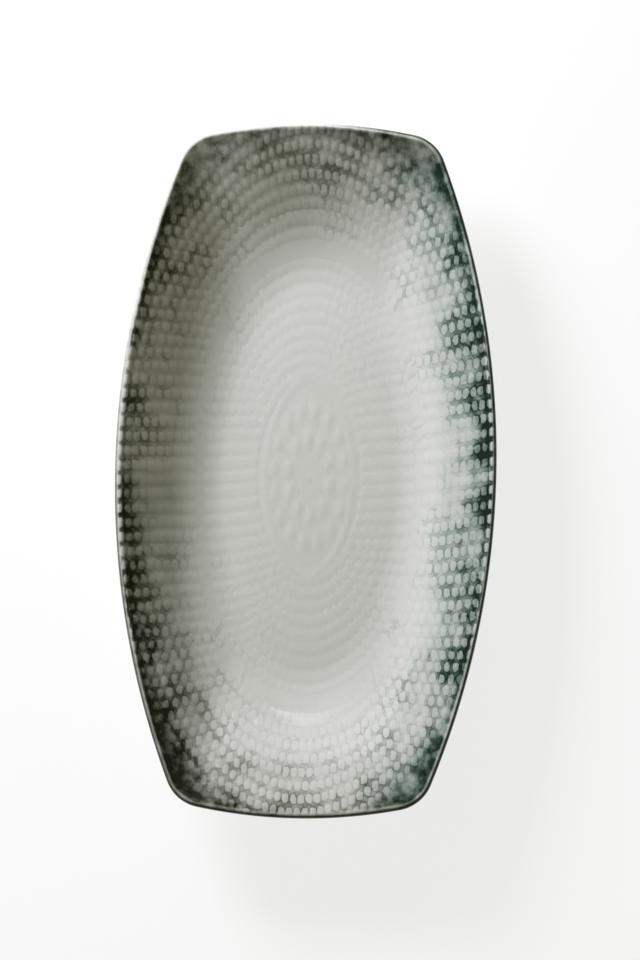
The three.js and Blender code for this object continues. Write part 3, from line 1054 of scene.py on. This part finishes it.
# %% [markdown]
# ## The plain glaze and the bare clay
#
# The back has the same glaze with no stain, except for the painted shade of the lip's outer edge, which
# runs over to it on the right and near sides, where the lip turns away from the window.
# It is cream, a little uneven, with a few tan specks. The foot is bare, so it is matt and grainy, and
# greyer on the land that rubs on tables.

# %% Plain glaze
PALER = (1.03, 1.02, 0.98)
SPECK = (0.50, 0.47, 0.40, 1)
SHADE_ENDS, SHADE_WHOLE = 36 * MM, 39 * MM
SHADE_LEVEL, SHADE_ACROSS, SHADE_ALONG = 0.78, 0.56 / (WIDTH / 2), -0.50 / (LENGTH / 2)
SHADE_DENSITY = 0.8

plain_glaze, tree, shader = new_finish("plain_glaze")
cream = blend(tree, cloud(tree, 30 * MM, seed=2.0), (*CREAM, 1), (*(CREAM * PALER), 1))
speck = ease(tree, cloud(tree, 1.1 * MM, seed=9.0, detail=0.0), 0.97, 1.0)
cream = blend(tree, speck, cream, SPECK)
axes = own_axes(tree)
# Painted shade along the lip's outer edge where it runs onto the back, heaviest on the right and near sides.
shaded_side = calc(tree, "MULTIPLY_ADD", axes["X"], SHADE_ACROSS, SHADE_LEVEL)
shaded_side = calc(tree, "MULTIPLY_ADD", axes["Y"], SHADE_ALONG, shaded_side, clamp=True)
painted_shade_line = product(tree, ease(tree, axes["Z"], SHADE_ENDS, SHADE_WHOLE), shaded_side)
painted_shade_colour = (*(CREAM * OLIVE_STAIN**SHADE_DENSITY), 1)
feed(tree, shader.inputs["Base Color"], blend(tree, painted_shade_line, cream, painted_shade_colour))
feed(tree, shader.inputs["Roughness"], grade(tree, cloud(tree, 10 * MM, seed=5.0), 0.20, 0.30))
bumps(tree, shader, cloud(tree, 6 * MM, seed=17.0, detail=1.0), 0.06 * MM)
back_coat.data.materials.append(plain_glaze)
recess_coat.data.materials.append(plain_glaze)
print("plain glaze on", back_coat.name, "and", recess_coat.name)

# %% Bare clay
FOOT_PALE, FOOT_DARK = (0.66, 0.61, 0.53), (0.52, 0.47, 0.39)
BODY_PALE, BODY_DARK = (0.72, 0.69, 0.63), (0.62, 0.58, 0.51)
RUBBED_TO = 0.6 * MM


def clay_finish(name, pale, dark, rubbed):
    finish, tree, shader = new_finish(name)
    grain = cloud(tree, 0.5 * MM, seed=4.0, detail=3.0)
    colour = blend(tree, product(tree, grain, 0.6), (*pale, 1), (*dark, 1))
    if rubbed:
        wear = product(tree, ease(tree, own_axes(tree)["Z"], RUBBED_TO, 0.0), cloud(tree, 9 * MM, seed=6.0))
        colour = blend(tree, product(tree, wear, 0.5), colour, (*(np.array(dark) * 0.7), 1))
    feed(tree, shader.inputs["Base Color"], colour)
    feed(tree, shader.inputs["Roughness"], grade(tree, grain, 0.78, 0.90))
    bumps(tree, shader, grain, 0.05 * MM)
    return finish


foot.data.materials.append(clay_finish("bare_clay", FOOT_PALE, FOOT_DARK, rubbed=True))
clay_body.data.materials.append(clay_finish("fired_clay", BODY_PALE, BODY_DARK, rubbed=False))
print("finishes:", [finish.name for finish in bpy.data.materials])

# %% [markdown]
# ## Where each piece belongs
#
# Each piece moves with the plate's one body and stands for one of the solids, which is hidden. The slot
# that its finish belongs to is listed beside it.

# %% Bodies, solids and slots
PLACES = {
    clay_body: ("porcelain_body", "clay"),
    foot: ("foot_ring", "bare_foot"),
    face: ("face_glaze", "face_coat"),
    back_coat: ("skirt_glaze", "back_coat"),
    recess_coat: ("recess_glaze", "back_coat"),
}
for piece, (node, slot) in PLACES.items():
    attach(piece, BODY)
    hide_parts(node)
    print(piece.name, "stands for", node, "in slot", slot)

# %% [markdown]
# ## Table and light
#
# The plate lies on paper so bright that it shows almost white. One soft lamp stands near, rather low, at
# the upper left, so the near and right walls are bright and the far and left walls lie in shade. It isn't
# seen in the glaze. A long thin lamp beyond the far end is, and makes the soft arc of light where the
# near wall rises. The room around is dim and a little warm.

# %% Table
TABLE_SIZE, BELOW_FOOT = 6, 0.0002
PAPER, PAPER_ROUGHNESS, PAPER_GLOW = (0.95, 0.95, 0.95, 1), 0.9, 0.80

bpy.ops.object.select_all(action="DESELECT")
bpy.ops.mesh.primitive_plane_add(size=TABLE_SIZE, location=(0, 0, -BELOW_FOOT))
table = bpy.context.object
table.name = "table"
paper, tree, shader = new_finish("white_paper")
shader.inputs["Base Color"].default_value = PAPER
shader.inputs["Roughness"].default_value = PAPER_ROUGHNESS
table.data.materials.append(paper)

bright = tree.nodes.new("ShaderNodeEmission")
rays = tree.nodes.new("ShaderNodeLightPath").outputs
mirrored = calc(tree, "MAXIMUM", rays["Is Glossy Ray"], rays["Is Transmission Ray"])
seen = calc(tree, "MAXIMUM", rays["Is Camera Ray"], mirrored)
mix = tree.nodes.new("ShaderNodeMixShader")
feed(tree, mix.inputs[0], product(tree, seen, PAPER_GLOW))
feed(tree, mix.inputs[1], shader.outputs["BSDF"])
feed(tree, mix.inputs[2], bright.outputs["Emission"])
feed(tree, tree.nodes["Material Output"].inputs["Surface"], mix.outputs["Shader"])
print("table of", TABLE_SIZE, "m")

# %% Light
ROOM_COLOUR, ROOM_STRENGTH = (0.96, 0.97, 0.25, 1), 0.10
WINDOW = {"azimuth": 128, "elevation": 32, "distance": 1.15, "size": (0.5, 0.5), "watts": 21.4}
WINDOW_COLOUR = (0.98, 0.98, 1.07)
BULB = {"azimuth": 92, "elevation": 45, "distance": 1.6, "size": (0.8, 0.07), "watts": 0.9}

world = bpy.data.worlds.new("room")
bpy.context.scene.world = world
world.use_nodes = True
room = world.node_tree.nodes["Background"]
room.inputs["Color"].default_value = ROOM_COLOUR
room.inputs["Strength"].default_value = ROOM_STRENGTH


def soft_box(name, azimuth, elevation, distance, size, watts):
    """An oval lamp that faces the plate, from an angle round it (0 is +X) and above the table."""
    flat, up = math.cos(math.radians(elevation)), math.sin(math.radians(elevation))
    turn = math.radians(azimuth)
    place = distance * Vector((flat * math.cos(turn), flat * math.sin(turn), up))
    data = bpy.data.lights.new(name, "AREA")
    data.shape = "ELLIPSE"
    data.size, data.size_y = size
    data.energy = watts
    lamp = bpy.data.objects.new(name, data)
    bpy.context.scene.collection.objects.link(lamp)
    lamp.location = place
    lamp.rotation_euler = place.to_track_quat("Z", "Y").to_euler()
    return lamp


window = soft_box("window", **WINDOW)
window.data.color = WINDOW_COLOUR
window.visible_glossy = False
bulb = soft_box("bulb", **BULB)
print("lamps:", window.name, "and", bulb.name)
